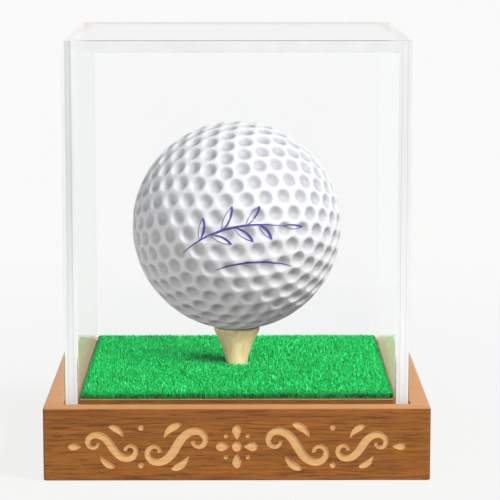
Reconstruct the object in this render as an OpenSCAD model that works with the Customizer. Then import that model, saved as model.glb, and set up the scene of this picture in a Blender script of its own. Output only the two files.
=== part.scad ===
/* [Base] */
// Side of the square wooden base
base_side = 74.4; // [70:0.2:120]
// Height of the wooden base, without its felt
base_h = 14.2; // [12:0.1:30]
// Radius of the base's four upright edges
base_corner_r = 0.6; // [0.4:0.1:1.4]
// Bevel along the base's upper and lower edges
base_bevel = 0.3; // [0.1:0.05:0.8]
// Depth of the groove that the cover stands in
groove_depth = 2.6; // [1:0.1:5]
// Play between the cover's walls and each side of the groove
groove_play = 0.3; // [0.15:0.05:0.8]
// Width of the ledge left bare all round the cover
ledge_w = 4; // [1.5:0.1:6]
// Rise of the island inside the groove above the base's top
island_rise = 0.5; // [0.3:0.1:3]
// Bevel along the island's top edge
island_bevel = 0.2; // [0.05:0.05:0.25]

/* [Felt] */
// Thickness of the felt sheet let into the underside
felt_t = 1.2; // [0.8:0.1:2.5]
// How far the felt stands out below the wood
felt_proud = 0.2; // [0.1:0.05:0.6]
// Width of bare wood round the felt
felt_margin = 2.5; // [1.5:0.25:8]
// Radius of the felt's corners
felt_corner_r = 3; // [1:0.5:8]

/* [Turf] */
// Step from the island's edge in to the turf's edge
turf_inset = 0.1; // [0.05:0.05:2]
// Thickness of the turf's woven backing
backing_t = 0.5; // [0.3:0.05:1.5]
// Height of the pile above the backing
pile_h = 1.1; // [0.8:0.1:3]
// Radius along the pile's top edge
pile_edge_r = 0.5; // [0.2:0.05:0.7]

/* [Cover] */
// Height of the cover from its foot to its top
cover_h = 72.6; // [60:0.2:140]
// Thickness of the acrylic sheet
sheet_t = 2.5; // [1.5:0.1:4]

/* [Tee] */
// Height of the tee's rim above the turf
tee_stand = 7.1; // [5:0.05:15]
// Diameter of the tee's rim
tee_rim_d = 9.4; // [8.8:0.1:12]
// Height of the straight band round the rim
tee_rim_h = 0.6; // [0.3:0.05:1.5]
// Diameter of the ring that the ball sits on
tee_seat_d = 8.2; // [6:0.1:8.4]
// Depth of the cup inside that ring
tee_cup_depth = 1.2; // [0.5:0.1:2]
// Diameter of the tee's shank
tee_shank_d = 4.2; // [3:0.1:6]
// Length of the shank glued into the wood
tee_buried = 8; // [4:0.25:9]

/* [Ball] */
// Diameter of the ball
ball_d = 42.67; // [42:0.01:46]
// Thickness of the ball's cover over its core
ball_cover_t = 1.8; // [1.2:0.1:4]
// Diameter of a dimple's rim
dimple_d = 3.2; // [2.4:0.05:3.3]
// Depth of a dimple below its rim
dimple_depth = 0.4; // [0.15:0.01:0.45]

/* [Hidden] */
$fn = 96;

// Clearances
felt_play = 0.1;
shank_play = 0.05;
turf_hole_play = 0.15;
bore_end_room = 0.4;
ball_seat_gap = 0.12;
core_gap = 0.05;
cut_over = 1;

// Levels, from the felt's underside upwards
wood_z = felt_proud;
base_top_z = wood_z + base_h;
groove_floor_z = base_top_z - groove_depth;
island_top_z = base_top_z + island_rise;
backing_top_z = island_top_z + backing_t;
turf_top_z = backing_top_z + pile_h;
tee_top_z = turf_top_z + tee_stand;
tee_foot_z = island_top_z - tee_buried;
cover_top_z = groove_floor_z + cover_h;

// Widths that follow the base and the cover
cover_side = base_side - 2 * ledge_w;
groove_side = cover_side + 2 * groove_play;
island_side = cover_side - 2 * (sheet_t + groove_play);
turf_side = island_side - 2 * turf_inset;
felt_side = base_side - 2 * felt_margin;

// The ball rests with its surface a hair above the tee's seat ring
ball_r = ball_d / 2;
seat_reach = ball_r + ball_seat_gap;
ball_z = tee_top_z + sqrt(pow(seat_reach, 2) - pow(tee_seat_d / 2, 2));

// The tee's flare narrows steeply under the rim and runs out gently at the turf's backing
flare_h = tee_top_z - tee_rim_h - backing_top_z;
flare_steps = 18;
flare_power = 1.5;
shank_point_h = 1;
cup_lip = 0.35;

function flare_radius(share) =
  tee_shank_d / 2 + (tee_rim_d - tee_shank_d) / 2 * pow(1 - share, flare_power);

turf_hole_r = flare_radius((tee_stand - tee_rim_h) / flare_h) + turf_hole_play;

// Dimples follow a triangular lattice laid over the twenty faces of an icosahedron.
// From one corner of a face to the next, the lattice takes this many steps along and aside.
steps_along = 6;
steps_aside = 1;
lattice_size = pow(steps_along, 2) + steps_along * steps_aside + pow(steps_aside, 2);
dimple_fn = 24;
dimple_clip = 0.1;
dimple_sphere_r = (pow(dimple_d / 2, 2) + pow(dimple_depth, 2)) / (2 * dimple_depth);
dimple_rim_z = sqrt(pow(ball_r, 2) - pow(dimple_d / 2, 2));

// How the ball happens to lie on its tee: a face to the front, its rows almost level
face_tilt = 52.6;
face_turn = -126;
row_roll = -10;

// A direction, given its angle from the upright and its turn about it
function direction(tilt, turn) = [sin(tilt) * cos(turn), sin(tilt) * sin(turn), cos(tilt)];

function unit(v) = v / norm(v);

corner_tilt = 90 - atan(1 / 2);
corners = concat(
  [[0, 0, 1]],
  [for (k = [0 : 4]) direction(corner_tilt, 72 * k)],
  [for (k = [0 : 4]) -direction(corner_tilt, 72 * k)],
  [[0, 0, -1]]
);
corner_arc = corner_tilt;
corner_chord = 2 * sin(corner_arc / 2);

function neighbours(a, b) = abs(norm(corners[a] - corners[b]) - corner_chord) < 0.01;

function faces_out(a, b, c) = cross(corners[b] - corners[a], corners[c] - corners[a]) * corners[a] > 0;

triangles = [
  for (a = [0 : 11], b = [a + 1 : 11], c = [b + 1 : 11])
    if (neighbours(a, b) && neighbours(b, c) && neighbours(a, c))
      faces_out(a, b, c) ? [a, b, c] : [a, c, b]
];

// Shares of a face's three corners at each lattice point inside the face
inner_shares = [
  for (i = [-steps_aside : steps_along], j = [0 : steps_along + steps_aside])
    let (
      second = (i * (steps_along + steps_aside) + j * steps_aside) / lattice_size,
      third = (j * steps_along - i * steps_aside) / lattice_size
    )
    if (second > 0.001 && third > 0.001 && second + third < 0.999)
      [1 - second - third, second, third]
];

// Weights by the sine of each share keep the dimples evenly spaced on the sphere
function on_sphere(face, share) = unit(
  sin(share[0] * corner_arc) * corners[face[0]]
  + sin(share[1] * corner_arc) * corners[face[1]]
  + sin(share[2] * corner_arc) * corners[face[2]]
);

dimple_directions = concat(
  corners,
  [for (face = triangles, share = inner_shares) on_sphere(face, share)]
);

module rounded_square(side, r) {
  square([side - 2 * r, side], center = true);
  square([side, side - 2 * r], center = true);
  for (x = [-1, 1], y = [-1, 1])
    translate([x * (side / 2 - r), y * (side / 2 - r)]) circle(r);
}

// A square slab standing on z = 0 whose side profile is the given 2D child, both ways
module both_ways(side) {
  intersection() {
    rotate([90, 0, 0]) linear_extrude(side, center = true) children();
    rotate([90, 0, 90]) linear_extrude(side, center = true) children();
  }
}

module bevelled_profile(side, h, low, high) {
  polygon([
    [-side / 2 + low, 0], [side / 2 - low, 0], [side / 2, low], [side / 2, h - high],
    [side / 2 - high, h], [-side / 2 + high, h], [-side / 2, h - high], [-side / 2, low]
  ]);
}

module base_body() {
  translate([0, 0, wood_z])
    intersection() {
      linear_extrude(base_h) rounded_square(base_side, base_corner_r);
      both_ways(base_side) bevelled_profile(base_side, base_h, base_bevel, base_bevel);
    }
}

module cover_pocket() {
  translate([0, 0, groove_floor_z])
    linear_extrude(groove_depth + cut_over) square(groove_side, center = true);
}

module island() {
  island_h = island_top_z - groove_floor_z;
  translate([0, 0, groove_floor_z])
    both_ways(island_side)
      polygon([
        [-island_side / 2, 0], [island_side / 2, 0], [island_side / 2, island_h - island_bevel],
        [island_side / 2 - island_bevel, island_h], [-island_side / 2 + island_bevel, island_h],
        [-island_side / 2, island_h - island_bevel]
      ]);
}

module tee_bore() {
  translate([0, 0, tee_foot_z - bore_end_room])
    cylinder(d = tee_shank_d + 2 * shank_play, h = tee_buried + bore_end_room + cut_over);
}

module felt_recess() {
  translate([0, 0, -cut_over])
    linear_extrude(felt_t + cut_over)
      rounded_square(felt_side + 2 * felt_play, felt_corner_r + felt_play);
}

module base_block() {
  color("sienna")
    difference() {
      union() {
        difference() {
          base_body();
          cover_pocket();
        }
        island();
      }
      felt_recess();
      tee_bore();
    }
}

module base_felt() {
  color("darkgreen")
    linear_extrude(felt_t) rounded_square(felt_side, felt_corner_r);
}

module tee_clearance() {
  cylinder(r = turf_hole_r, h = cover_top_z);
}

module turf_backing() {
  color("darkslategray")
    difference() {
      translate([0, 0, island_top_z]) linear_extrude(backing_t) square(turf_side, center = true);
      tee_clearance();
    }
}

module pile_profile() {
  square_half = turf_side / 2;
  translate([-square_half, 0]) square([turf_side, pile_h - pile_edge_r]);
  translate([-square_half + pile_edge_r, 0]) square([turf_side - 2 * pile_edge_r, pile_h]);
  for (x = [-1, 1])
    translate([x * (square_half - pile_edge_r), pile_h - pile_edge_r])
      circle(pile_edge_r);
}

module turf_pile() {
  color("mediumseagreen")
    difference() {
      translate([0, 0, backing_top_z]) both_ways(turf_side) pile_profile();
      tee_clearance();
    }
}

// The tee's turned outline, from its foot up to its rim
module tee_body() {
  flare_top_z = tee_top_z - tee_rim_h;
  flare = [
    for (k = [flare_steps : -1 : 0])
      [flare_radius(k / flare_steps), flare_top_z - flare_h * k / flare_steps]
  ];
  rotate_extrude()
    polygon(concat(
      [[0, tee_foot_z], [tee_shank_d / 2 - shank_point_h / 2, tee_foot_z]],
      [[tee_shank_d / 2, tee_foot_z + shank_point_h]],
      flare,
      [[tee_rim_d / 2, tee_top_z], [0, tee_top_z]]
    ));
}

module tee() {
  cup_r = tee_seat_d / 2 - cup_lip;
  cup_sphere_r = (pow(cup_r, 2) + pow(tee_cup_depth, 2)) / (2 * tee_cup_depth);
  color("burlywood")
    difference() {
      tee_body();
      translate([0, 0, ball_z]) sphere(seat_reach);
      translate([0, 0, tee_top_z - tee_cup_depth + cup_sphere_r]) sphere(cup_sphere_r);
    }
}

module as_it_lies() {
  translate([0, 0, ball_z])
    rotate([0, row_roll, 0])
      rotate([face_tilt, 0, 0])
        rotate([0, 0, face_turn])
          children();
}

module ball_core() {
  color("gray")
    translate([0, 0, ball_z]) sphere(ball_r - ball_cover_t - core_gap);
}

// One dimple's cutter at the top of the ball: a shallow cap, clipped just outside its rim
module dimple() {
  cap_h = dimple_depth + ball_r - dimple_rim_z + dimple_clip;
  intersection() {
    translate([0, 0, dimple_rim_z - dimple_depth + dimple_sphere_r])
      sphere(dimple_sphere_r, $fn = dimple_fn);
    translate([0, 0, dimple_rim_z - dimple_depth - dimple_clip])
      cylinder(d = dimple_d + dimple_clip, h = cap_h + dimple_clip, $fn = dimple_fn);
  }
}

module ball_cover() {
  color("whitesmoke")
    as_it_lies()
      difference() {
        sphere(ball_r);
        sphere(ball_r - ball_cover_t);
        for (d = dimple_directions)
          rotate([0, acos(d[2]), atan2(d[1], d[0])]) dimple();
      }
}

// A wall of the cover, seen from the front: mitred at both upright edges and along its top
module wall_panel() {
  half = cover_side / 2;
  intersection() {
    translate([0, 0, groove_floor_z])
      linear_extrude(cover_h)
        polygon([
          [-half, -half], [half, -half],
          [half - sheet_t, -half + sheet_t], [-half + sheet_t, -half + sheet_t]
        ]);
    rotate([90, 0, 90])
      linear_extrude(cover_side, center = true)
        polygon([
          [-half, groove_floor_z], [-half + sheet_t, groove_floor_z],
          [-half + sheet_t, cover_top_z - sheet_t], [-half, cover_top_z]
        ]);
  }
}

module cover_front_panel() {
  color("aliceblue", 0.3) wall_panel();
}

module cover_right_panel() {
  color("aliceblue", 0.3) rotate([0, 0, 90]) wall_panel();
}

module cover_back_panel() {
  color("aliceblue", 0.3) rotate([0, 0, 180]) wall_panel();
}

module cover_left_panel() {
  color("aliceblue", 0.3) rotate([0, 0, 270]) wall_panel();
}

module cover_top_panel() {
  half = cover_side / 2;
  color("aliceblue", 0.3)
    translate([0, 0, cover_top_z - sheet_t])
      both_ways(cover_side)
        polygon([[-half + sheet_t, 0], [half - sheet_t, 0], [half, sheet_t], [-half, sheet_t]]);
}

base_block();
base_felt();
turf_backing();
turf_pile();
tee();
ball_core();
ball_cover();
cover_front_panel();
cover_right_panel();
cover_back_panel();
cover_left_panel();
cover_top_panel();
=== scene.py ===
import itertools
import math

import bmesh
import bpy
import numpy as np
from mathutils import Matrix, Vector


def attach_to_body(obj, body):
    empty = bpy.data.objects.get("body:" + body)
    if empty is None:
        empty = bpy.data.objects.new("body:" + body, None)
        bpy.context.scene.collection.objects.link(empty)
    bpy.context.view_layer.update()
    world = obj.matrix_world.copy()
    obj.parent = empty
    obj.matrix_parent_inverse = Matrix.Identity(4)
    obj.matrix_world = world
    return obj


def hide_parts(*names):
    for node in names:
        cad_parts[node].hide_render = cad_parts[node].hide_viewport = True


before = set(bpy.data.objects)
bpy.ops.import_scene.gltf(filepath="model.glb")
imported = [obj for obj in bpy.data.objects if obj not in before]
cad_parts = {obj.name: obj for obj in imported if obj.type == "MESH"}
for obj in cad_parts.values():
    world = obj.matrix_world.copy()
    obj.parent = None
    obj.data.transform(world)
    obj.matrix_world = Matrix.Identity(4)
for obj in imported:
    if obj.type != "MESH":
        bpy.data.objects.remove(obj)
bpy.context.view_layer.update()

# Lengths are in millimetres, and those of the solids are as in the part's source
MM = 0.001

# Wooden base and felt
BASE_HALF = 37.2
BASE_CORNER_R = 0.6
BASE_BEVEL = 0.3
WOOD_Z = 0.2
BASE_TOP_Z = 14.4
GROOVE_FLOOR_Z = 11.8
GROOVE_HALF = 33.5
GROOVE_CORNER_R = 0.05
GROOVE_BEVEL = 0.08
ISLAND_HALF = 30.4
ISLAND_CORNER_R = 0.15
ISLAND_TOP_Z = 14.9
ISLAND_BEVEL = 0.2
FELT_HALF = 34.7
FELT_CORNER_R = 3.0
FELT_T = 1.2
FELT_PLAY = 0.1
FELT_EDGE_R = 0.25

# Turf
TURF_HALF = 30.3
TURF_HOLE_R = 2.39
BACKING_TOP_Z = 15.4
BACKING_EDGE_H = 0.1
THREADS_PER_SIDE = 120
RIB_DEPTH = 0.04
TURF_TOP_Z = 16.5
PILE_UNEVENNESS = 0.6
PILE_ROUNDING = 1.5
PILE_EDGE_DROP = 0.6
BLADE_PITCH = 0.26
BLADE_TAPER = 0.45
EDGE_BLADE_PITCH = 0.11
EDGE_BLADE_ROWS = 4
EDGE_ROW_STEP = 0.12
LEAN_OVER_EDGE = 0.2
PILE_INSET = 0.1
PILE_FOOT_H = 0.2
PILE_FLOOR_H = 0.5
PILE_FLOOR_RIM = 0.35
PILE_FLOOR_POINTS = 121
PILE_SEED = 11

# Tee and its bore
TEE_FOOT_Z = 6.9
TEE_TOP_Z = 23.6
TEE_RIM_R = 4.7
TEE_RIM_H = 0.6
TEE_RIM_EDGE_R = 0.15
TEE_SEAT_R = 4.1
TEE_CUP_DEPTH = 1.2
TEE_CUP_LIP = 0.35
TEE_SHANK_R = 2.1
TEE_FLARE_POWER = 1.5
SHANK_PLAY = 0.05
SHANK_POINT_H = 1.0
BORE_END_ROOM = 0.4

# Ball, and how it lies, in degrees
BALL_R = 21.335
BALL_Z = 44.66
BALL_SEAT_GAP = 0.12
DIMPLE_R = 1.6
DIMPLE_DEPTH = 0.4
DIMPLE_SINK = DIMPLE_DEPTH + BALL_R - math.sqrt(BALL_R ** 2 - DIMPLE_R ** 2)
DIMPLE_SOFTNESS = 0.014
DIMPLE_SHADING = 2.7
BALL_FINENESS = 96
CORNER_TILT = 90 - math.degrees(math.atan(0.5))
FACE_TILT = 52.6
FACE_TURN = -126.0
ROW_ROLL = -10.0
STEPS_ALONG = 6
STEPS_ASIDE = 1

# Cover and its glued joints
COVER_HALF = 33.2
COVER_TOP_Z = 84.4
SHEET_T = 2.5
COVER_EDGE_R = 0.12
COVER_FOOT_R = 0.15
SEAM_INSET = 0.12
SEAM_FOOT_H = 0.2

# Ornament engraved in the front of the base, and pen flourish on the ball
ORNAMENT_Z = 6.9
ENGRAVED_DEPTH = 0.2
CUTTER_ROOM = 1.0
FLOURISH_MIDDLE = (0.7, 0.4)
FLOURISH_LIFT = 0.02
STROKE_LIFT = 0.01
PEN_ANGLE = 20

# Camera, from a fit to the photograph
CAMERA_PLACE = (0.0, -467.3, 110.3)
CAMERA_PITCH = 8.625
CAMERA_YAW = 0.334
CAMERA_LENS = 165.36
SENSOR = 36.0

# Colours and levels that several materials share
WHITE = (1, 1, 1)
ACRYLIC_TINT = (0.985, 0.99, 0.99, 1.0)
ACRYLIC_IOR = 1.49
STUDIO_WHITE = (0.955, 0.955, 0.95, 1.0)
MIRRORED_DARK = 0.15


# Making meshes

def new_object(name, data):
    """A new object of the scene from a mesh, a lamp or a camera."""
    made = bpy.data.objects.new(name, data)
    bpy.context.scene.collection.objects.link(made)
    return made


def mesh_object(name, points, faces, *materials, smooth=False):
    """A new object from points in millimetres."""
    mesh = bpy.data.meshes.new(name)
    mesh.from_pydata(np.asarray(points, float) * MM, [], faces, shade_flat=not smooth)
    mesh.validate()
    for material in materials:
        mesh.materials.append(material)
    return new_object(name, mesh)


def closed_object(name, points, faces, *materials):
    """As mesh_object, for a closed skin, whose faces are turned outwards."""
    made = mesh_object(name, points, faces, *materials)
    work = bmesh.new()
    work.from_mesh(made.data)
    bmesh.ops.recalc_face_normals(work, faces=work.faces)
    work.to_mesh(made.data)
    work.free()
    return made


def store_values(made, name, values):
    """Stores a value for each point of a mesh, for its material."""
    attribute = made.data.attributes.new(name, "FLOAT", "POINT")
    attribute.data.foreach_set("value", values.astype(np.float32))


def smooth_by_angle(made, degrees):
    """The piece in smooth shading, apart from edges that are sharper than an angle."""
    made.data.shade_smooth()
    made.data.set_sharp_from_angle(angle=math.radians(degrees))
    return made


def even_turns(count):
    """Evenly spaced angles of a whole turn, in radians."""
    return np.linspace(0, 2 * math.pi, count, endpoint=False)


def round_ring(radius, z, turns):
    return [(radius * math.cos(turn), radius * math.sin(turn), z) for turn in turns]


def square_ring(half, radius, z):
    """Points round a square with rounded corners."""
    points = []
    per_corner = 5
    for corner, (sx, sy) in enumerate(((1, 1), (-1, 1), (-1, -1), (1, -1))):
        for step in range(per_corner + 1):
            turn = math.radians(90 * corner + 90 * step / per_corner)
            x = sx * (half - radius) + radius * math.cos(turn)
            y = sy * (half - radius) + radius * math.sin(turn)
            points.append((x, y, z))
    return points


def edge_rings(half, radius, z, edge_r, start, end, steps=4):
    """Rings of a rounded edge. An angle of 0 faces sideways and 90 upwards."""
    least_radius = 0.05
    rings = []
    for k in range(steps + 1):
        turn = math.radians(start + (end - start) * k / steps)
        inset = edge_r * (1 - math.cos(turn))
        rings.append(square_ring(
            half - inset, max(radius - inset, least_radius), z + edge_r * math.sin(turn)
        ))
    return rings


def loft(rings, close_ends=True):
    """Points and faces of a skin over rings that have equally many points."""
    points = [p for ring in rings for p in ring]
    count = len(rings[0])
    last = len(points) - count
    faces = []
    for start in range(0, last, count):
        for i in range(count):
            a, b = start + i, start + (i + 1) % count
            faces.append((a, b, b + count, a + count))
    if close_ends:
        faces += [tuple(range(count)), tuple(range(last, last + count))]
    return points, faces


def grid_faces(rows, columns, first=0):
    """Faces between rows of points, which are numbered on from the first."""
    starts = (first + row * columns + k for row in range(rows - 1) for k in range(columns - 1))
    return [(a, a + 1, a + columns + 1, a + columns) for a in starts]


def cut_away(made, cutter):
    """Takes the cutter's volume out of a mesh and keeps the cutter's material on the cut."""
    cut = made.modifiers.new("cut", "BOOLEAN")
    cut.operation = "DIFFERENCE"
    cut.solver = "EXACT"
    cut.object = cutter
    cut.material_mode = "TRANSFER"
    depsgraph = bpy.context.evaluated_depsgraph_get()
    result = bpy.data.meshes.new_from_object(made.evaluated_get(depsgraph))
    made.modifiers.clear()
    made.data = result
    bpy.data.objects.remove(cutter)


# Making materials

def new_node(tree, kind, inputs=None, **settings):
    """A new shader node. An input is a value or the output of another node."""
    made = tree.nodes.new("ShaderNode" + kind)
    for name, value in settings.items():
        setattr(made, name, value)
    for socket, value in (inputs or {}).items():
        if isinstance(value, bpy.types.NodeSocket):
            tree.links.new(value, made.inputs[socket])
        else:
            made.inputs[socket].default_value = value
    return made


def new_material(name, shade, **settings):
    """A new material, whose shader a function makes in its node tree."""
    material = bpy.data.materials.new(name)
    material.use_nodes = True
    tree = material.node_tree
    tree.nodes.clear()
    new_node(tree, "OutputMaterial", {"Surface": shade(tree, **settings).outputs[0]})
    return material


def separate(tree, vector):
    return new_node(tree, "SeparateXYZ", {"Vector": vector}).outputs


def object_place(tree):
    """Object coordinates, in metres."""
    return new_node(tree, "TexCoord").outputs["Object"]


def scaled_place(tree, scale, shift=(0, 0, 0)):
    """Object coordinates in cycles: so many to the millimetre, for all axes or for each."""
    scale = np.broadcast_to(scale, 3) / MM
    inputs = {"Vector": object_place(tree), "Scale": scale, "Location": shift}
    return new_node(tree, "Mapping", inputs).outputs["Vector"]


def place_in_mm(tree):
    """The X, Y and Z of a point in millimetres."""
    return separate(tree, scaled_place(tree, 1))


def light_path(tree):
    return new_node(tree, "LightPath").outputs


def stored_values(tree, name):
    return new_node(tree, "Attribute", attribute_name=name).outputs["Fac"]


def noise(tree, scale, detail=2.0, roughness=0.5, distortion=0.0):
    """Noise at a scale as in scaled_place."""
    return new_node(tree, "TexNoise", {
        "Vector": scaled_place(tree, scale), "Scale": 1.0,
        "Detail": detail, "Roughness": roughness, "Distortion": distortion,
    }).outputs["Fac"]


def ramp(tree, value, stops):
    """A colour ramp with stops of (place, colour)."""
    made = new_node(tree, "ValToRGB", {"Fac": value})
    elements = made.color_ramp.elements
    for k, (place, colour) in enumerate(stops):
        element = elements[k] if k < 2 else elements.new(place)
        element.position = place
        element.color = (*colour, 1.0)
    return made.outputs["Color"]


def mottled(tree, pattern, first, second):
    """Two colours that run into each other with a noise pattern."""
    return ramp(tree, pattern, ((0.3, first), (0.7, second)))


def mapped(tree, value, low, high, out_low=0.0, out_high=1.0):
    return new_node(tree, "MapRange", {
        "Value": value, "From Min": low, "From Max": high, "To Min": out_low, "To Max": out_high,
    }).outputs["Result"]


def math_node(tree, operation, first, second=0.0, **settings):
    inputs = {0: first, 1: second}
    return new_node(tree, "Math", inputs, operation=operation, **settings).outputs[0]


def mix_colour(tree, factor, first, second, blend="MIX"):
    first, second = (
        colour if isinstance(colour, bpy.types.NodeSocket) else (*colour, 1.0)
        for colour in (first, second)
    )
    inputs = {0: factor, 6: first, 7: second}
    return new_node(tree, "Mix", inputs, data_type="RGBA", blend_type=blend).outputs[2]


def covered(tree, under, over, pattern, start, full, share):
    """One colour with another over it, none where a pattern is at start and a share at full."""
    return mix_colour(tree, mapped(tree, pattern, start, full, 0.0, share), under, over)


def bump(tree, height, distance, strength):
    inputs = {"Height": height, "Distance": distance * MM, "Strength": strength}
    return new_node(tree, "Bump", inputs).outputs["Normal"]


def principled(tree, inputs):
    return new_node(tree, "BsdfPrincipled", inputs)


def mix_shaders(tree, share, first, second):
    inputs = {0: share, 1: first.outputs[0], 2: second.outputs[0]}
    return new_node(tree, "MixShader", inputs)


def seen_ray(tree):
    """1 for a ray by which the camera sees a thing, straight or through the acrylic."""
    path = light_path(tree)
    return math_node(tree, "MAXIMUM", path["Is Camera Ray"], path["Is Transmission Ray"])


def mirrored_ray(tree):
    """1 for a ray that was mirrored last, and 0 for one that came through the acrylic."""
    path = light_path(tree)
    glossy, through = path["Is Glossy Ray"], path["Is Transmission Ray"]
    return math_node(tree, "SUBTRACT", glossy, through, use_clamp=True)


# Wooden base

def growth_rings(tree):
    """Rings round an axis along X, which show on the ends of the wood."""
    return new_node(tree, "TexWave", {
        "Vector": scaled_place(tree, 1, (0, 9, 64)),
        "Scale": 0.12, "Distortion": 2.5, "Detail": 3.0, "Detail Scale": 0.7,
    }, wave_type="RINGS", rings_direction="X").outputs["Fac"]


def wood_shader(tree, dark, middle, light, top, pores, shine, gloss):
    """Straight-grained wood along X, with short dark streaks and fine pores.

    Top is a painted highlight, the lighter colour that its upward faces are mixed with. Pores says
    how dark they are, and shine is the range of its roughness.
    """
    height = place_in_mm(tree)[2]
    normal = separate(tree, new_node(tree, "NewGeometry").outputs["Normal"])
    bands = noise(tree, (0.014, 0.2, 0.3), 3.0, 0.6, 0.6)
    streaks = noise(tree, (0.05, 1.8, 2.4), 4.0, 0.7, 0.3)
    dashes = noise(tree, (0.13, 2.2, 3.0), 3.0, 0.7)
    fine = noise(tree, (0.3, 5.0, 6.0), 2.0, 0.6)
    base = mottled(tree, bands, middle, light)
    # Painted highlight: the wood gets lighter towards the bottom of the base
    painted_low_highlight = covered(tree, base, light, height, 9.0, 1.0, 0.55)
    streaked = covered(tree, painted_low_highlight, dark, streaks, 0.45, 0.66, 0.55)
    dashed = covered(tree, streaked, dark, dashes, 0.53, 0.62, pores)
    ringed = mix_colour(tree, mapped(tree, growth_rings(tree), 0.35, 1.0, 0.1, 0.6), base, dark)
    sideways = math_node(tree, "ABSOLUTE", normal[0])
    grained = covered(tree, dashed, ringed, sideways, 0.5, 0.9, 0.85)
    pored = covered(tree, grained, dark, fine, 0.5, 0.66, pores / 2)
    # Painted shade: wood above the ledge's height, the island's side, is darkened as if in the groove's
    # shadow
    painted_groove_shade = (0.2, 0.07, 0.006)
    shaded = covered(tree, pored, painted_groove_shade, height, BASE_TOP_Z - 0.3, BASE_TOP_Z + 0.1, 0.5)
    relief = math_node(tree, "SUBTRACT", 1.0, mapped(tree, dashes, 0.5, 0.7))
    # Upward faces get the painted highlight of top, which makes them lighter
    return principled(tree, {
        "Base Color": covered(tree, shaded, top, normal[2], 0.3, 0.9, 0.72),
        "Roughness": mapped(tree, streaks, 0.3, 0.7, *shine),
        "IOR": 1.48,
        "Specular IOR Level": gloss,
        "Normal": bump(tree, relief, 0.03, 0.4),
    })


def to_the_left(line):
    """Unit vectors at right angles to a line of points."""
    along = np.gradient(line, axis=0)
    along /= np.linalg.norm(along, axis=1)[:, None]
    return np.stack([-along[:, 1], along[:, 0]], axis=1)


def ribbon(line, widths):
    """Outline of a stroke along a line of points, with a width at each point."""
    side = to_the_left(line) * widths[:, None] / 2
    return np.concatenate([line + side, (line - side)[::-1]])


def bent_line(start, heading, bend, length, power=1.0, count=44):
    """A line that starts towards a heading and bends by some degrees along its length."""
    turn = np.radians(heading + bend * np.linspace(0, 1, count) ** power)
    middle = (turn[1:] + turn[:-1]) / 2
    steps = np.stack([np.cos(middle), np.sin(middle)], axis=1) * length / (count - 1)
    return start + np.concatenate([[[0, 0]], np.cumsum(steps, axis=0)])


def s_scroll(middle, half_length, heading, bend, thin, thick, flip=1):
    """An S whose two ends curl inwards and end in a small knob."""
    half = bent_line((0, 0), heading, bend, half_length, 2.0)
    line = np.concatenate([-half[:0:-1], half])
    line[:, 1] *= flip
    away = abs(np.linspace(-1, 1, len(line)))
    knob = 0.3 * np.exp(-((1 - away) / 0.05) ** 2)
    return ribbon(line + middle, thin + (thick - thin) * (1 - away ** 1.6) + knob)


def leaf(tip, heading, bend, length, width, count=24):
    """A leaf that runs from its pointed tip towards a heading."""
    tip_width = 0.08
    line = bent_line(tip, heading, bend, length, count=count)
    return ribbon(line, width * np.sin(math.pi * np.linspace(0, 1, count) ** 0.7) + tip_width)


def disc(middle, radius):
    turns = even_turns(24)
    return middle + radius * np.stack([np.cos(turns), np.sin(turns)], axis=1)


def ornament_outlines():
    """Outlines of a generic scroll ornament, in millimetres round its middle."""
    right = [
        s_scroll((11.6, 0.0), 11.8, -60, 338, 0.5, 1.75),
        leaf((10.6, 4.4), -8, -62, 4.6, 1.35),
        leaf((12.6, -4.4), 172, -62, 4.6, 1.35),
        disc((18.4, 3.7), 0.55),
        disc((18.4, -3.7), 0.55),
        s_scroll((24.0, 0.0), 9.6, -57, 335, 0.45, 1.55, -1),
        leaf((24.6, 4.0), 188, 62, 3.9, 1.15),
        leaf((23.4, -4.0), 8, 62, 3.9, 1.15),
        leaf((32.4, 0.0), 180, 0, 2.6, 1.3),
    ]
    left = [outline * (-1, 1) for outline in right]
    middle = [disc((0, 0), 0.95)]
    for heading, reach in ((0, 2.7), (90, 2.9), (180, 2.7), (270, 2.9)):
        turn = math.radians(heading)
        tip = ((reach + 1.35) * math.cos(turn), (reach + 1.35) * math.sin(turn))
        middle.append(leaf(tip, heading + 180, 0, reach, 1.7))
    middle += [disc((2.1 * sx, 2.1 * sy), 0.42) for sx in (-1, 1) for sy in (-1, 1)]
    return right + left + middle


def ornament_cutter(material):
    """Upright prisms on the ornament's outlines, which reach into the base's front face."""
    points, faces = [], []
    for outline in ornament_outlines():
        first = len(points)
        prism_points, prism_faces = loft([
            [(x, y, z + ORNAMENT_Z) for x, z in outline]
            for y in (-BASE_HALF - CUTTER_ROOM, -BASE_HALF + ENGRAVED_DEPTH)
        ])
        points += prism_points
        faces += [tuple(first + i for i in face) for face in prism_faces]
    return closed_object("ornament_cutter", points, faces, material)


def bore_cutter(material):
    ends = (TEE_FOOT_Z - BORE_END_ROOM, ISLAND_TOP_Z + CUTTER_ROOM)
    rings = [round_ring(TEE_SHANK_R + SHANK_PLAY, z, even_turns(48)) for z in ends]
    return closed_object("bore_cutter", *loft(rings), material)


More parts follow.
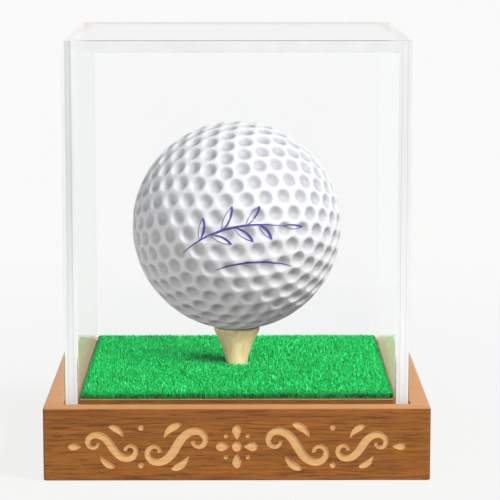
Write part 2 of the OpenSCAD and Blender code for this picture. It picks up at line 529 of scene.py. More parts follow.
def make_wood_base(wood, engraved):
    """The base as one skin, from the felt's recess over its sides and the groove to the island."""
    side = (BASE_HALF, BASE_CORNER_R)
    recess = (FELT_HALF + FELT_PLAY, FELT_CORNER_R + FELT_PLAY)
    rings = [square_ring(*recess, FELT_T), square_ring(*recess, WOOD_Z)]
    rings += edge_rings(*side, WOOD_Z + BASE_BEVEL, BASE_BEVEL, -90, 0)
    rings += edge_rings(*side, BASE_TOP_Z - BASE_BEVEL, BASE_BEVEL, 0, 90)
    rings += [
        square_ring(GROOVE_HALF + GROOVE_BEVEL, 2 * GROOVE_CORNER_R, BASE_TOP_Z),
        square_ring(GROOVE_HALF, GROOVE_CORNER_R, BASE_TOP_Z - GROOVE_BEVEL),
        square_ring(GROOVE_HALF, GROOVE_CORNER_R, GROOVE_FLOOR_Z),
        square_ring(ISLAND_HALF, ISLAND_CORNER_R, GROOVE_FLOOR_Z),
    ]
    rings += edge_rings(
        ISLAND_HALF, ISLAND_CORNER_R, ISLAND_TOP_Z - ISLAND_BEVEL, ISLAND_BEVEL, 0, 90, 3
    )
    made = closed_object("wood_base", *loft(rings), wood, engraved)
    cut_away(made, ornament_cutter(engraved))
    cut_away(made, bore_cutter(wood))
    return smooth_by_angle(made, 32)


# Felt under the base

def felt_shader(tree):
    fibres = noise(tree, 1.6, 4.0, 0.7, 1.5)
    clumps = noise(tree, 0.25)
    base = mottled(tree, fibres, (0.012, 0.04, 0.02), (0.04, 0.11, 0.055))
    return principled(tree, {
        "Base Color": covered(tree, base, (0.02, 0.06, 0.03), clumps, 0.3, 0.7, 0.35),
        "Roughness": 0.95,
        "Sheen Weight": 0.3,
        "Normal": bump(tree, fibres, 0.15, 0.7),
    })


def make_felt(material):
    rings = edge_rings(FELT_HALF, FELT_CORNER_R, FELT_EDGE_R, FELT_EDGE_R, -90, 0)
    rings += edge_rings(FELT_HALF, FELT_CORNER_R, FELT_T - FELT_EDGE_R, FELT_EDGE_R, 0, 90)
    return smooth_by_angle(closed_object("felt_pad", *loft(rings), material), 30)


# Turf

def backing_shader(tree):
    """A plain weave, with fuzz."""
    place = place_in_mm(tree)
    warp, weft = (
        math_node(tree, "SINE", math_node(tree, "MULTIPLY", place[axis], 7.0)) for axis in (0, 1)
    )
    weave = mapped(tree, math_node(tree, "MULTIPLY", warp, weft), -1.0, 1.0)
    fuzz = noise(tree, 3.0, 3.0, 0.6)
    base = ramp(tree, weave, ((0.2, (0.0, 0.055, 0.014)), (0.8, (0.004, 0.15, 0.035))))
    return principled(tree, {
        "Base Color": covered(tree, base, (0.0, 0.09, 0.022), fuzz, 0.35, 0.65, 0.6),
        "Roughness": 0.9,
        "Normal": bump(tree, weave, 0.1, 0.8),
    })


def ribbed_square(turns, shrink, z):
    """A square ring whose sides have a small rib at each thread."""
    ribs = RIB_DEPTH * np.sin(turns * THREADS_PER_SIDE)
    ring = []
    for turn, rib in zip(turns, ribs):
        reach = (TURF_HALF - shrink + rib) / max(abs(math.cos(turn)), abs(math.sin(turn)))
        ring.append((reach * math.cos(turn), reach * math.sin(turn), z))
    return ring


def make_turf_mat(material):
    """The turf's woven backing: a thin slab with a ribbed edge and a hole for the tee."""
    turns = even_turns(4 * THREADS_PER_SIDE)
    low, high = ISLAND_TOP_Z, BACKING_TOP_Z
    inset, proud = 0.12, 0.04
    rings = [
        round_ring(TURF_HOLE_R, low, turns),
        ribbed_square(turns, inset, low),
        ribbed_square(turns, proud, low + BACKING_EDGE_H),
        ribbed_square(turns, proud, high - BACKING_EDGE_H),
        ribbed_square(turns, inset, high),
        round_ring(TURF_HOLE_R, high, turns),
    ]
    points, faces = loft([*rings, rings[0]], close_ends=False)
    last = len(rings) * len(turns)
    faces = [tuple(i % last for i in face) for face in faces]
    return closed_object("turf_mat", points[:last], faces, material)


def pile_shader(tree):
    """The pile, with painted shade at its foot. To bounced and blurred light from afar it is a neutral
    grey.
    """
    height = separate(tree, object_place(tree))[2]
    rise = mapped(tree, height, (BACKING_TOP_Z - 0.3) * MM, TURF_TOP_Z * MM)
    patches = noise(tree, 0.12)
    tufts = noise(tree, (1.7, 1.7, 0.15), 2.0, 0.7)
    # Painted shade: the blades darken towards their foot, where the pile shades itself
    painted_foot_shade = ramp(tree, rise, (
        (0.0, (0.0, 0.015, 0.002)), (0.5, (0.0, 0.06, 0.008)),
        (0.8, (0.0, 0.4, 0.07)), (1.0, (0.006, 0.86, 0.19)),
    ))
    bright_blades = mapped(tree, stored_values(tree, "tone"), 0.6, 1.0, 0.0, 0.9)
    lit_tip = math_node(tree, "MULTIPLY", bright_blades, rise)
    light = mix_colour(tree, lit_tip, painted_foot_shade, (0.12, 0.95, 0.36))
    tufted = covered(tree, light, (0.0, 0.3, 0.04), tufts, 0.56, 0.42, 0.62)
    colour = covered(tree, tufted, (0.0, 0.5, 0.08), patches, 0.35, 0.7, 0.2)
    path = light_path(tree)
    from_afar = math_node(tree, "GREATER_THAN", path["Ray Length"], 1.5 * MM)
    blurred = math_node(tree, "SUBTRACT", mirrored_ray(tree), path["Is Singular Ray"])
    bounced = math_node(tree, "MAXIMUM", path["Is Diffuse Ray"], blurred)
    neutral = math_node(tree, "MULTIPLY", bounced, from_afar)
    return principled(tree, {
        "Base Color": mix_colour(tree, neutral, colour, (0.17, 0.167, 0.167)),
        "Roughness": 0.65,
        "Specular IOR Level": 0.05,
    })


def inner_blades(rng):
    """X, Y and lean of the blades all over the turf, on a grid with random shifts."""
    across = np.arange(-TURF_HALF + PILE_INSET, TURF_HALF - PILE_INSET / 2, BLADE_PITCH)
    x, y = (g.ravel() for g in np.meshgrid(across, across))
    x = x + rng.uniform(-0.5, 0.5, x.size) * BLADE_PITCH
    y = y + rng.uniform(-0.5, 0.5, y.size) * BLADE_PITCH
    lean = rng.uniform(0.05, 0.5, x.size)
    clear = np.hypot(x, y) > TURF_HOLE_R + PILE_INSET
    return np.stack([x[clear], y[clear], lean[clear]])


def edge_blades(rng):
    """X, Y and lean of the closer rows of blades along the turf's edges."""
    edge = np.arange(-TURF_HALF, TURF_HALF, EDGE_BLADE_PITCH)
    sides = []
    for row in range(EDGE_BLADE_ROWS):
        offset = TURF_HALF - 0.02 - EDGE_ROW_STEP * row + rng.uniform(-0.05, 0.05, edge.size)
        run = edge + rng.uniform(-0.06, 0.06, edge.size)
        sides += [(run, -offset), (run, offset), (-offset, run), (offset, run)]
    x, y = np.concatenate(sides, axis=1)
    return np.stack([x, y, rng.uniform(0.02, 0.25, x.size)])


def blade_heights(rng, x, y, count_in):
    """Foot and tip of each blade. The tips are uneven, and lower towards the turf's edge."""
    foot = BACKING_TOP_Z - rng.uniform(0.05, 0.35, x.size)
    foot[:count_in] = BACKING_TOP_Z + PILE_FOOT_H
    tip = TURF_TOP_Z - PILE_UNEVENNESS * rng.uniform(0.0, 1.0, x.size) ** 1.6
    from_rim = np.clip(TURF_HALF - np.maximum(abs(x), abs(y)), 0, PILE_ROUNDING)
    return foot, tip - PILE_EDGE_DROP * (1 - from_rim / PILE_ROUNDING) ** 2


def grass_blades(rng):
    """Points, triangles and tones of the pile's blades."""
    inner = inner_blades(rng)
    x, y, lean = np.concatenate([inner, edge_blades(rng)], axis=1)
    foot, tip = blade_heights(rng, x, y, inner.shape[1])
    count = x.size
    heading = rng.uniform(0, 2 * math.pi, count)
    facing = rng.uniform(0, math.pi, count)
    width = rng.uniform(0.12, 0.22, count)
    reach = lean * (tip - foot)
    lean_x, lean_y = reach * np.cos(heading), reach * np.sin(heading)
    wide_x, wide_y = width * np.cos(facing) / 2, width * np.sin(facing) / 2
    limit = TURF_HALF + LEAN_OVER_EDGE
    rows = []
    for share, taper in ((0.0, 1.0), (1.0, BLADE_TAPER)):
        for sign in (-1, 1):
            rows.append(np.stack([
                np.clip(x + lean_x * share + sign * wide_x * taper, -limit, limit),
                np.clip(y + lean_y * share + sign * wide_y * taper, -limit, limit),
                foot + (tip - foot) * share,
            ], axis=1))
    points = np.stack(rows, axis=1).reshape(-1, 3)
    one = np.array([(0, 1, 3), (0, 3, 2)])
    triangles = (np.arange(count)[:, None, None] * 4 + one).reshape(-1, 3)
    return points, triangles, np.repeat(rng.uniform(0, 1, count), 4)


def grass_floor(rng):
    """The dense bottom of the pile, between the blades."""
    across = np.linspace(-TURF_HALF + PILE_INSET, TURF_HALF - PILE_INSET, PILE_FLOOR_POINTS)
    x, y = np.meshgrid(across, across)
    z = BACKING_TOP_Z + PILE_FLOOR_H + rng.uniform(-0.12, 0.12, x.shape)
    rim = np.maximum(abs(x), abs(y)) > TURF_HALF - PILE_FLOOR_RIM
    z = np.where(rim, BACKING_TOP_Z + PILE_FOOT_H, z)
    points = np.stack([x.ravel(), y.ravel(), z.ravel()], axis=1)
    squares = np.array(grid_faces(PILE_FLOOR_POINTS, PILE_FLOOR_POINTS))
    triangles = np.concatenate([squares[:, (0, 1, 2)], squares[:, (0, 2, 3)]])
    middle = points[triangles].mean(axis=1)
    clear = np.hypot(middle[:, 0], middle[:, 1]) > TURF_HOLE_R + 2 * PILE_INSET
    return points, triangles[clear], rng.uniform(0, 0.6, len(points))


def make_grass(material):
    rng = np.random.default_rng(PILE_SEED)
    points, triangles, tones = grass_blades(rng)
    floor_points, floor_triangles, floor_tones = grass_floor(rng)
    triangles = np.concatenate([triangles, floor_triangles + len(points)])
    points = np.concatenate([points, floor_points])
    made = mesh_object("turf_grass", points, triangles, material, smooth=True)
    store_values(made, "tone", np.concatenate([tones, floor_tones]))
    return made


# Tee

def tee_shader(tree):
    """Pale birch under a thin lacquer, its grain upright."""
    grain = noise(tree, (1.1, 1.1, 0.05), 3.0, 0.6, 0.4)
    fine = noise(tree, (5.0, 5.0, 0.3))
    base = ramp(tree, grain, (
        (0.3, (0.74, 0.6, 0.22)), (0.5, (0.86, 0.72, 0.34)), (0.72, (0.92, 0.79, 0.5)),
    ))
    return principled(tree, {
        "Base Color": covered(tree, base, (0.52, 0.42, 0.22), fine, 0.55, 0.75, 0.3),
        "Roughness": mapped(tree, grain, 0.3, 0.7, 0.34, 0.46),
        "Coat Weight": 0.12,
        "Coat Roughness": 0.25,
        "Normal": bump(tree, fine, 0.02, 0.4),
    })


def tee_outside():
    """Radius and height along the tee, from its foot up the flare and over the rim."""
    flare_top = TEE_TOP_Z - TEE_RIM_H
    flare_h = flare_top - BACKING_TOP_Z
    profile = [
        (TEE_SHANK_R - SHANK_POINT_H / 2, TEE_FOOT_Z),
        (TEE_SHANK_R, TEE_FOOT_Z + SHANK_POINT_H),
    ]
    for share in np.linspace(1, 0, 33):
        spread = (TEE_RIM_R - TEE_SHANK_R) * (1 - share) ** TEE_FLARE_POWER
        profile.append((TEE_SHANK_R + spread, flare_top - flare_h * share))
    edge = TEE_RIM_EDGE_R
    for turn in np.radians(np.linspace(0, 90, 5)):
        profile.append((
            TEE_RIM_R - edge * (1 - math.cos(turn)), TEE_TOP_Z - edge + edge * math.sin(turn)
        ))
    return profile


def tee_cup():
    """Radius and height from the seat, which follows the ball, down into the hollow below it."""
    seat_reach = BALL_R + BALL_SEAT_GAP
    cup_r = TEE_SEAT_R - TEE_CUP_LIP
    cup_sphere_r = (cup_r ** 2 + TEE_CUP_DEPTH ** 2) / (2 * TEE_CUP_DEPTH)
    cup_sphere_z = TEE_TOP_Z - TEE_CUP_DEPTH + cup_sphere_r
    profile = []
    for radius in (*np.linspace(TEE_SEAT_R, cup_r, 3), *np.linspace(cup_r * 0.93, 0.3, 10)):
        under_ball = BALL_Z - math.sqrt(seat_reach ** 2 - radius ** 2)
        in_cup = cup_sphere_z - math.sqrt(cup_sphere_r ** 2 - radius ** 2)
        profile.append((radius, min(under_ball, in_cup, TEE_TOP_Z)))
    return profile


def make_tee(material):
    turns = even_turns(72)
    rings = [round_ring(radius, z, turns) for radius, z in tee_outside() + tee_cup()]
    return smooth_by_angle(closed_object("tee_peg", *loft(rings), material), 28)


# Ball

def direction(tilt, turn):
    """A unit vector tilted from straight up, and then turned about Z."""
    tilt, turn = math.radians(tilt), math.radians(turn)
    return np.array([
        math.sin(tilt) * math.cos(turn), math.sin(tilt) * math.sin(turn), math.cos(tilt)
    ])


def icosahedron():
    """Corners and faces of an icosahedron, each face turned outwards."""
    ring = [direction(CORNER_TILT, 72 * k) for k in range(5)]
    corners = np.array([direction(0, 0), *ring, *(-corner for corner in ring), -direction(0, 0)])
    side = 2 * math.sin(math.radians(CORNER_TILT / 2))
    near = abs(np.linalg.norm(corners[:, None] - corners[None], axis=2) - side) < 0.01
    faces = []
    for a, b, c in itertools.combinations(range(12), 3):
        if near[a, b] and near[b, c] and near[a, c]:
            turn = np.cross(corners[b] - corners[a], corners[c] - corners[a]) @ corners[a]
            faces.append((a, b, c) if turn > 0 else (a, c, b))
    return corners, faces


def on_sphere(corners, face, shares):
    """Directions at shares of a face's corners, kept evenly spaced by their sines."""
    weights = np.sin(np.asarray(shares) * math.radians(CORNER_TILT))
    found = weights @ corners[list(face)]
    return found / np.linalg.norm(found, axis=-1, keepdims=True)


def dimple_directions():
    """The corners of the icosahedron, and the lattice points inside each of its faces."""
    corners, faces = icosahedron()
    size = STEPS_ALONG ** 2 + STEPS_ALONG * STEPS_ASIDE + STEPS_ASIDE ** 2
    inside = []
    for i in range(-STEPS_ASIDE, STEPS_ALONG + 1):
        for j in range(STEPS_ALONG + STEPS_ASIDE + 1):
            second = (i * (STEPS_ALONG + STEPS_ASIDE) + j * STEPS_ASIDE) / size
            third = (j * STEPS_ALONG - i * STEPS_ASIDE) / size
            shares = (1 - second - third, second, third)
            if min(shares) > 0.001:
                inside.append(shares)
    return np.concatenate([corners, *(on_sphere(corners, face, inside) for face in faces)])


def as_it_lies():
    """The ball's turn: a face to the front, its rows almost level."""
    roll, tilt, turn = (
        Matrix.Rotation(math.radians(angle), 3, axis)
        for angle, axis in ((ROW_ROLL, "Y"), (FACE_TILT, "X"), (FACE_TURN, "Z"))
    )
    return np.array(roll @ tilt @ turn)


def fine_sphere(fineness):
    """Directions and triangles of an evenly divided icosahedron."""
    corners, faces = icosahedron()
    index, directions, triangles = {}, [], []
    grid = [(i, j) for i in range(fineness + 1) for j in range(fineness + 1 - i)]
    shares = np.array([(fineness - i - j, i, j) for i, j in grid]) / fineness
    for face in faces:
        found = on_sphere(corners, face, shares)
        keys = [tuple(k) for k in np.round(found * 1e5).astype(int)]
        own = {}
        for place, key, point in zip(grid, keys, found):
            if key not in index:
                index[key] = len(directions)
                directions.append(point)
            own[place] = index[key]
        for i, j in grid:
            if i + j < fineness:
                triangles.append((own[i, j], own[i + 1, j], own[i, j + 1]))
            if i + j < fineness - 1:
                triangles.append((own[i + 1, j], own[i + 1, j + 1], own[i, j + 1]))
    return np.array(directions), np.array(triangles)


def surface_radius(directions, dimples):
    """The ball's radius along each direction, with softly rounded dimple rims."""
    parts = np.array_split(directions, 60)
    nearest = np.concatenate([(part @ dimples.T).max(axis=1) for part in parts])
    away = BALL_R * np.arccos(np.clip(nearest, -1, 1))
    sink = DIMPLE_SINK * (1 - (away / DIMPLE_R) ** 2)
    depth = DIMPLE_SOFTNESS * np.logaddexp(0, sink / DIMPLE_SOFTNESS)
    return BALL_R - depth


def vertex_normals(points, triangles):
    a, b, c = points[triangles].swapaxes(0, 1)
    across = np.cross(b - a, c - a)
    normals = np.zeros_like(points)
    for k in range(3):
        np.add.at(normals, triangles[:, k], across)
    return normals / np.linalg.norm(normals, axis=1, keepdims=True)


def ball_shader(tree):
    """Gloss white, with painted shade that darkens the dimples."""
    speckle = noise(tree, 0.6, 3.0, 0.6)
    scuffs = noise(tree, (0.15, 0.9, 0.15), 4.0, 0.65, 1.0)
    white = mottled(tree, speckle, (0.86, 0.86, 0.875), (0.9, 0.9, 0.91))
    # Painted shade: the deeper a point lies in a dimple, the darker its colour
    painted_dimple_shade = stored_values(tree, "painted_dimple_shade")
    return principled(tree, {
        "Base Color": covered(tree, white, (0.6, 0.6, 0.62), painted_dimple_shade, 0.0, 0.85, 0.9),
        "Roughness": mapped(tree, scuffs, 0.35, 0.65, 0.42, 0.5),
        "IOR": 1.5,
        "Specular IOR Level": 0.22,
        "Normal": bump(tree, speckle, 0.01, 0.3),
    })


def core_shader(tree):
    mottle = noise(tree, 0.5, 3.0, 0.6)
    specks = noise(tree, 4.0)
    base = mottled(tree, mottle, (0.28, 0.28, 0.27), (0.4, 0.4, 0.38))
    return principled(tree, {
        "Base Color": covered(tree, base, (0.12, 0.12, 0.12), specks, 0.6, 0.72, 0.6),
        "Roughness": mapped(tree, mottle, 0.3, 0.7, 0.7, 0.85),
        "Normal": bump(tree, specks, 0.05, 0.5),
    })


def make_ball(material, dimples):
    """The dimpled ball. Its shading normals are steeper than its dimples, which shows them more."""
    directions, triangles = fine_sphere(BALL_FINENESS)
    directions = directions @ as_it_lies().T
    radius = surface_radius(directions, dimples)
    points = directions * radius[:, None] + (0, 0, BALL_Z)
    made = mesh_object("golf_ball", points, triangles, material, smooth=True)
    steep = directions * (BALL_R - DIMPLE_SHADING * (BALL_R - radius))[:, None]
    made.data.normals_split_custom_set_from_vertices(vertex_normals(steep, triangles))
    # Depth in the dimples, which the material turns into painted shade
    store_values(made, "painted_dimple_shade", (BALL_R - radius) / DIMPLE_SINK)
    return made


# The ink flourish on the ball

def ink_shader(tree):
    spread = noise(tree, 1.2, 3.0, 0.6)
    return principled(tree, {
        "Base Color": mottled(tree, spread, (0.055, 0.03, 0.3), (0.14, 0.1, 0.46)),
        "Roughness": mapped(tree, spread, 0.3, 0.7, 0.3, 0.45),
        "Specular IOR Level": 0.4,
    })


def pen_widths(line, thin, thick):
    """Widths of a pen stroke: thick where it runs down, thin elsewhere and at its ends."""
    along = np.gradient(line, axis=0)
    slope = np.arctan2(along[:, 1], along[:, 0]) - math.radians(PEN_ANGLE)
    press = np.clip(-np.sin(slope), 0, 1)
    press = np.convolve(np.pad(press, 4, mode="edge"), np.ones(9) / 9, "valid")
    share = np.linspace(0, 1, len(line))
    return thin + (thick - thin) * press * np.minimum(1, np.minimum(share, 1 - share) / 0.12)


def leaf_loop(start, heading, length, fatness):
    """A leaf drawn there and back, fatter with more degrees of bend."""
    there = bent_line(start, heading + fatness, -2 * fatness, length)
    back = bent_line(there[-1], heading + 180 + fatness, -2 * fatness, length)
    loop = np.concatenate([there, back[1:]])
    return loop, pen_widths(loop, 0.13, 0.48)


def flourish_strokes():
    """Pen strokes of a plain flourish: a leafy sprig over a swash, with their widths."""
    share = np.linspace(0, 1, 160)
    stem = bent_line((-11.3, -3.4), 50, -62, 21.5, 0.8, 160)
    swash = bent_line((-5.0, -6.6), 24, -44, 15.5, 1.0, 160)
    strokes = [
        (stem, 0.14 + 0.34 * np.sin(share * math.pi) ** 1.2),
        (swash, 0.1 + 0.34 * np.sin(share * math.pi) ** 0.9),
        leaf_loop(stem[-1], -8, 3.8, 24),
    ]
    for number, length in enumerate((4.6, 4.6, 5.2, 4.8, 4.6, 4.0)):
        at = 32 + 18 * number
        run = stem[at + 1] - stem[at]
        lean = -48 if number % 2 else 48
        heading = math.degrees(math.atan2(run[1], run[0])) + lean
        strokes.append(leaf_loop(stem[at], heading, length, 26))
    return strokes


def on_ball(x, z, dimples):
    """Points of the ball's front seen at x and z, lifted clear of the surface."""
    radius = BALL_R
    for _ in range(7):
        y = -np.sqrt(radius ** 2 - x ** 2 - z ** 2)
        place = np.stack([x, y, z], axis=1)
        away = place / np.linalg.norm(place, axis=1, keepdims=True)
        radius = surface_radius(away, dimples)
    return place + away * FLOURISH_LIFT


def make_flourish(material, dimples):
    """Strokes of ink on the ball, each a little higher than the one before it."""
    points, faces = [], []
    shares = (-0.5, -0.17, 0.17, 0.5)
    for number, (line, widths) in enumerate(flourish_strokes()):
        faces += grid_faces(len(shares), len(line), len(points))
        for share in shares:
            x, z = (line + to_the_left(line) * (widths * share)[:, None] + FLOURISH_MIDDLE).T
            rib = on_ball(x, z, dimples)
            points += list(rib + rib / BALL_R * STROKE_LIFT * number + (0, 0, BALL_Z))
    return mesh_object("ink_flourish", points, faces, material, smooth=True)


# Acrylic cover

def clear_shaders(tree):
    """Acrylic that bends and mirrors, acrylic that only bends, and plain clearness."""
    cloudy = noise(tree, 0.05, 3.0, 0.6)
    glass = principled(tree, {
        "Base Color": mottled(tree, cloudy, ACRYLIC_TINT[:3], (0.995, 1.0, 1.0)),
        "Roughness": 0.0,
        "IOR": ACRYLIC_IOR,
        "Specular Tint": (0.25, 0.25, 0.25, 1.0),
        "Transmission Weight": 1.0,
    })
    bent = new_node(tree, "BsdfRefraction", {"Color": ACRYLIC_TINT, "Roughness": 0.0, "IOR": ACRYLIC_IOR})
    clear = new_node(tree, "BsdfTransparent", {"Color": ACRYLIC_TINT})
    return glass, bent, clear


def let_light_in(tree, shader, clear):
    """Clear for shadow rays and diffuse rays, so that the lamps light what is inside."""
    path = light_path(tree)
    passes = math_node(tree, "MAXIMUM", path["Is Shadow Ray"], path["Is Diffuse Ray"])
    return mix_shaders(tree, passes, shader, clear)


def acrylic_shader(tree):
    glass, _, clear = clear_shaders(tree)
    return let_light_in(tree, glass, clear)


def side_acrylic_shader(tree):
    """The side walls' acrylic. Seen edge on, it mirrors little and has some haze."""
    glass, bent, clear = clear_shaders(tree)
    edge_on = new_node(tree, "LayerWeight", {"Blend": 0.5}).outputs["Facing"]
    inside = new_node(tree, "NewGeometry").outputs["Backfacing"]
    mirror = new_node(tree, "BsdfGlossy", {"Color": (0.95, 1.0, 0.96, 1.0), "Roughness": 0.0})
    haze = new_node(tree, "BsdfTranslucent", {"Color": (0.85, 0.86, 0.84, 1.0)})
    edged = mix_shaders(tree, 0.2, mix_shaders(tree, 0.42, bent, mirror), haze)
    entering = mix_shaders(tree, mapped(tree, edge_on, 0.7, 0.85, 0.0, 0.95), glass, edged)
    along = mix_shaders(tree, mapped(tree, edge_on, 0.4, 0.6), bent, clear)
    leaving = mix_shaders(tree, 0.95, glass, along)
    both = mix_shaders(tree, inside, entering, leaving)
    return let_light_in(tree, both, clear)


def seam_shade(tree, place):
    """Darker lines along the joint, and painted shade as a dark core in the upper part of the left
    joints.
    """
    line, core_edge, core_middle, core_end = (
        (level, level, level + 0.01) for level in (0.84, 0.7, 0.85, 0.75)
    )
    across = mapped(tree, math_node(tree, "ABSOLUTE", place[0]), COVER_HALF - SHEET_T, COVER_HALF)
    lines = ramp(tree, across, (
        (0.24, WHITE), (0.3, line), (0.36, WHITE), (0.66, WHITE), (0.72, line), (0.78, WHITE),
    ))
    core = ramp(tree, across, (
        (0.24, WHITE), (0.32, core_edge), (0.5, core_middle), (0.7, core_end), (0.78, WHITE),
    ))
    # Painted shade: the dark core, in the upper part of the left joints only
    on_left = mapped(tree, place[0], 1.0, -1.0)
    high_up = mapped(tree, place[2], 25.0, 55.0, 0.1)
    return mix_colour(tree, math_node(tree, "MULTIPLY", on_left, high_up), lines, core)


def seam_shader(tree):
    """Glued joints, which show as pale bands in the clear sheet, fainter towards the back."""
    place = place_in_mm(tree)
    streaks = noise(tree, (0.3, 0.3, 0.04), 3.0, 0.6)
    pale = mottled(tree, streaks, (0.88, 0.89, 0.9), (0.96, 0.96, 0.965))
    # Painted shade: the joints darken higher up, and low down a slight cyan tint cancels the wood's
    # bounced light
    low_down = mapped(tree, place[2], 60.0, 20.0)
    painted_height_shade = mix_colour(tree, low_down, (0.88, 0.88, 0.885), (0.99, 1.0, 1.0))
    tinted = mix_colour(tree, 1.0, pale, painted_height_shade, "MULTIPLY")
    colour = mix_colour(tree, 1.0, tinted, seam_shade(tree, place), "MULTIPLY")
    haze = principled(tree, {
        "Base Color": colour,
        "Roughness": 0.5,
        "Alpha": mapped(tree, place[1], -25.0, 25.0, 0.85, 0.07),
    })
    through = new_node(tree, "BsdfTranslucent", {"Color": colour})
    both = mix_shaders(tree, mapped(tree, place[1], -25.0, 25.0, 0.6, 0.05), haze, through)
    clear = new_node(tree, "BsdfTransparent")
    return mix_shaders(tree, light_path(tree)["Is Shadow Ray"], both, clear)


def make_cover(material, side_material):
    """The clear cover as one skin, with the side acrylic on all that faces left or right."""
    inner = (COVER_HALF - SHEET_T, COVER_EDGE_R)
    outer = (COVER_HALF, COVER_EDGE_R)
    rings = [square_ring(*inner, COVER_TOP_Z - SHEET_T), square_ring(*inner, GROOVE_FLOOR_Z)]
    rings += edge_rings(*outer, GROOVE_FLOOR_Z + COVER_FOOT_R, COVER_FOOT_R, -90, 0, 3)
    rings += edge_rings(*outer, COVER_TOP_Z - COVER_EDGE_R, COVER_EDGE_R, 0, 90)
    made = closed_object("acrylic_cover", *loft(rings), material, side_material)
    nearly_sideways = 0.95
    for face in made.data.polygons:
        face.material_index = int(abs(face.normal.x) > nearly_sideways)
    return made


def make_seams(material):
    """The glued mitres: a thin sheet across each corner and along each top edge."""
    inner, outer = COVER_HALF - SHEET_T + SEAM_INSET, COVER_HALF - SEAM_INSET
    low, high = GROOVE_FLOOR_Z + SEAM_FOOT_H, COVER_TOP_Z - SHEET_T + SEAM_INSET
    top = COVER_TOP_Z - SEAM_INSET
    corner = ((inner, inner, low), (outer, outer, low), (outer, outer, top), (inner, inner, high))
    edge = ((-inner, -inner, high), (inner, -inner, high), (outer, -outer, top), (-outer, -outer, top))
    points = []
    for sheet, turn in itertools.product((corner, edge), range(4)):
        spin = Matrix.Rotation(math.radians(90 * turn), 3, "Z")
        points += [spin @ Vector(point) for point in sheet]
    faces = [(k, k + 1, k + 2, k + 3) for k in range(0, len(points), 4)]
    return mesh_object("cover_seams", points, faces, material)


# Floor, world, lamps and camera

def floor_shader(tree):
    """A pale floor that keeps the object's shadow and runs out into plain white.

    What mirrors the floor on the camera's side sees it darker.
    """
    place = object_place(tree)
    away = new_node(tree, "VectorMath", {0: place}, operation="LENGTH").outputs["Value"]
    diffuse_ray = light_path(tree)["Is Diffuse Ray"]
    lit = new_node(tree, "BsdfDiffuse", {
        "Color": mix_colour(tree, diffuse_ray, (0.92, 0.92, 0.915), (0.6, 0.6, 0.6)),
    })
    plain, mirrored = (
        new_node(tree, "Emission", {"Color": STUDIO_WHITE, "Strength": strength}) for strength in (
            mapped(tree, away, 0.05, 0.25, 0.97),
            mapped(tree, separate(tree, place)[1], -0.2, 0.1, MIRRORED_DARK),
        )
    )
    seen_far = math_node(tree, "MULTIPLY", seen_ray(tree), mapped(tree, away, 0.05, 0.2, 0.92))
    mirrored_far = math_node(tree, "MULTIPLY", mirrored_ray(tree), mapped(tree, away, 0.09, 0.3))
    return mix_shaders(tree, mirrored_far, mix_shaders(tree, seen_far, lit, plain), mirrored)


def make_floor():
    half, squares = 4000.0, 24
    across = np.linspace(-half, half, squares + 1)
    points = [(x, y, 0.0) for y in across for x in across]
    faces = grid_faces(squares + 1, squares + 1)
    mesh_object("floor", points, faces, new_material("studio_floor", floor_shader))


def make_world():
    """Plain white where it is seen, and darker on the camera's side for what mirrors it."""
    world = bpy.data.worlds.new("studio")
    bpy.context.scene.world = world
    world.use_nodes = True
    tree = world.node_tree
    tree.nodes.clear()
    heading = separate(tree, new_node(tree, "TexCoord").outputs["Generated"])[1]
    ambient, mirrored, white = (
        new_node(tree, "Background", {"Color": colour, "Strength": strength})
        for colour, strength in (
            ((0.98, 0.99, 1.0, 1.0), 0.2),
            (STUDIO_WHITE, mapped(tree, heading, -0.5, 0.3, MIRRORED_DARK)),
            (STUDIO_WHITE, 1.0),
        )
    )
    lit = mix_shaders(tree, light_path(tree)["Is Glossy Ray"], ambient, mirrored)
    both = mix_shaders(tree, seen_ray(tree), lit, white)
    new_node(tree, "OutputWorld", {"Surface": both.outputs[0]})


def add_lamp(name, place, aim, width, height, watts):
    light = bpy.data.lights.new(name, "AREA")
    light.shape = "RECTANGLE"
    light.size = width
    light.size_y = height
    light.energy = watts
    lamp = new_object(name, light)
    lamp.location = place
    lamp.rotation_euler = (Vector(aim) - Vector(place)).to_track_quat("-Z", "Y").to_euler()
    return lamp


def group(name, members, state="INCLUDE"):
    """A lamp's collection of pieces: they alone count for it, or with EXCLUDE all but them."""
    made = bpy.data.collections.new(name)
    for member in members:
        made.objects.link(bpy.data.objects[member])
    for member in made.collection_objects:
        member.light_linking.link_state = state
    return made


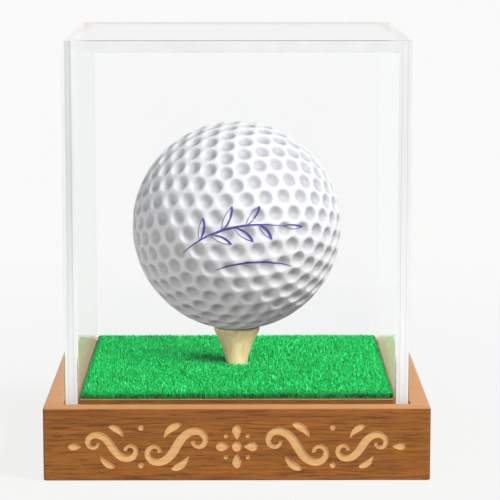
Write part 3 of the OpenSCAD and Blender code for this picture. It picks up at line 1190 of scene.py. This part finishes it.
def make_lamps():
    """A key from the upper right, a soft fill from the left and a low one from behind.

    The wood, the turf and the tee have lamps of their own in place of the key, and the glued
    joints have one besides it. The rear fill lies just above the floor, so that it doesn't graze
    the base's upward faces.
    """
    key_place, middle, foot = (0.55, -0.42, 0.72), (0.0, 0.0, 0.04), (0.0, 0.0, 0.015)
    lamps = {row[0]: add_lamp(*row) for row in (
        ("key", key_place, middle, 0.15, 0.15, 8.8),
        ("left_fill", (-0.85, -0.75, 0.05), middle, 0.4, 0.4, 5.3),
        ("wood_lamp", key_place, middle, 0.15, 0.15, 8.5),
        ("turf_lamp", (0.64, -0.44, 0.54), foot, 0.8, 0.8, 28.5),
        ("tee_lamp", (0.5, -0.72, 0.55), foot, 0.3, 0.3, 13.3),
        ("seam_lamp", (-0.32, -1.1, 0.06), middle, 0.4, 0.4, 9.9),
        ("rear_fill", (0.0, 1.1, 0.009), foot, 0.3, 0.015, 7.0),
    )}
    turf = ("turf_grass", "turf_mat")
    for name, unlit in (
        ("key", ("wood_base", "tee_peg", *turf)),
        ("rear_fill", (*turf, "tee_peg", "cover_seams", "acrylic_cover", "floor")),
    ):
        lamps[name].light_linking.receiver_collection = group(name + "_skips", unlit, "EXCLUDE")
    # The thin ink alone blocks the joints' lamp, so that nothing in effect shades them
    for name, receivers, blockers in (
        ("wood_lamp", ("wood_base",), ("wood_base", "tee_peg", *turf)),
        ("turf_lamp", turf, (*turf, "tee_peg")),
        ("tee_lamp", ("tee_peg",), ("tee_peg", "golf_ball")),
        ("seam_lamp", ("cover_seams",), ("ink_flourish",)),
    ):
        linking = lamps[name].light_linking
        linking.receiver_collection = group(name + "_lights", receivers)
        linking.blocker_collection = group(name + "_shaded_by", blockers)


def make_camera():
    data = bpy.data.cameras.new("camera")
    data.lens = CAMERA_LENS
    data.sensor_width = SENSOR
    data.clip_start = 0.01
    data.clip_end = 20.0
    camera = new_object("camera", data)
    camera.location = tuple(v * MM for v in CAMERA_PLACE)
    camera.rotation_euler = (math.radians(90 - CAMERA_PITCH), 0.0, math.radians(-CAMERA_YAW))
    bpy.context.scene.camera = camera


# Putting the pieces on their bodies

def attach(made, body, slot, *nodes):
    """The piece rides on a body and stands for CAD nodes, which it hides. The slot is not used."""
    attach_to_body(made, body)
    if nodes:
        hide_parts(*nodes)


def make_base_pieces():
    # The top colours paint a highlight on the woods' upward faces
    wood = new_material(
        "brown_wood", wood_shader, dark=(0.13, 0.042, 0.01), middle=(0.327, 0.117, 0.022),
        light=(0.46, 0.164, 0.028), top=(0.82, 0.4, 0.16), pores=0.78, shine=(0.45, 0.6), gloss=0.3,
    )
    engraved = new_material(
        "engraved_wood", wood_shader, dark=(0.62, 0.35, 0.14), middle=(0.83, 0.49, 0.2),
        light=(0.9, 0.55, 0.24), top=(0.83, 0.49, 0.2), pores=0.2, shine=(0.7, 0.85), gloss=0.2,
    )
    attach(make_wood_base(wood, engraved), "base", "base_wood", "base_block")
    felt = make_felt(new_material("green_felt", felt_shader))
    attach(felt, "base", "felt", "base_felt")
    mat = make_turf_mat(new_material("woven_backing", backing_shader))
    grass = make_grass(new_material("green_pile", pile_shader))
    attach(mat, "base", "turf_backing", "turf_backing")
    attach(grass, "base", "turf", "turf_pile")
    attach(make_tee(new_material("tee_birch", tee_shader)), "base", "tee_wood", "tee")


def make_ball_pieces():
    """The ball and its ink. The core is the CAD node, with a better material."""
    dimples = dimple_directions() @ as_it_lies().T
    ball = make_ball(new_material("ball_white", ball_shader), dimples)
    attach(ball, "ball", "ball_white", "ball_cover")
    attach(make_flourish(new_material("violet_ink", ink_shader), dimples), "ball", "ball_white")
    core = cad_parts["ball_core"]
    core.data.materials.clear()
    core.data.materials.append(new_material("core_rubber", core_shader))


def make_cover_pieces():
    panels = [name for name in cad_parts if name.startswith("cover_")]
    clear = new_material("clear_acrylic", acrylic_shader)
    side = new_material("side_acrylic", side_acrylic_shader)
    attach(make_cover(clear, side), "cover", "clear_acrylic", *panels)
    attach(make_seams(new_material("glued_seam", seam_shader)), "cover", "clear_acrylic")


make_base_pieces()
make_ball_pieces()
make_cover_pieces()
make_floor()
make_world()
make_lamps()
make_camera()

bpy.context.scene.view_settings.view_transform = "Standard"
